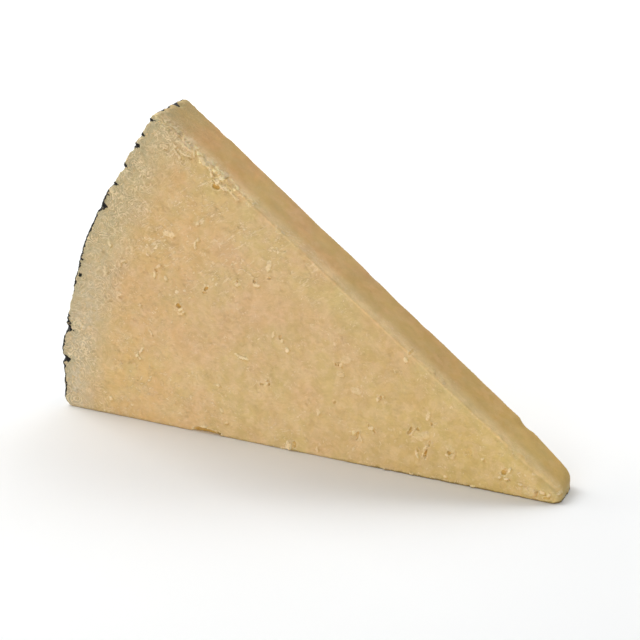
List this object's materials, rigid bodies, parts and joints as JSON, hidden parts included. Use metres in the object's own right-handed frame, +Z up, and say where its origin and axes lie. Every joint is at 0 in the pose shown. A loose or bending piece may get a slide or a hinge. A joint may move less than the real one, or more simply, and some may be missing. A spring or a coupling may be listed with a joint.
{
  "type": "pecorino romano chunk",
  "caption": "Thin wedge of hard aged cheese standing on a cut face, with a black rind along its curved side and a worn, blunt tip.",
  "frame": {"origin": "middle of the box's underside, on the table that the lower cut rests on", "axes": "+Z up, +X from the rind to the tip along the lower cut, +Y through the thickness, from the broad front face to the back face"},
  "size_m": [0.1524, 0.0178, 0.0884],
  "materials": {
    "cheese_paste": "satin, fine grained cut cheese",
    "rind_coat": "thin black protective coat, dull with worn high spots"
  },
  "bodies": {
    "root": {"cheese_wedge": "cheese_paste"}
  },
  "joints": []
}
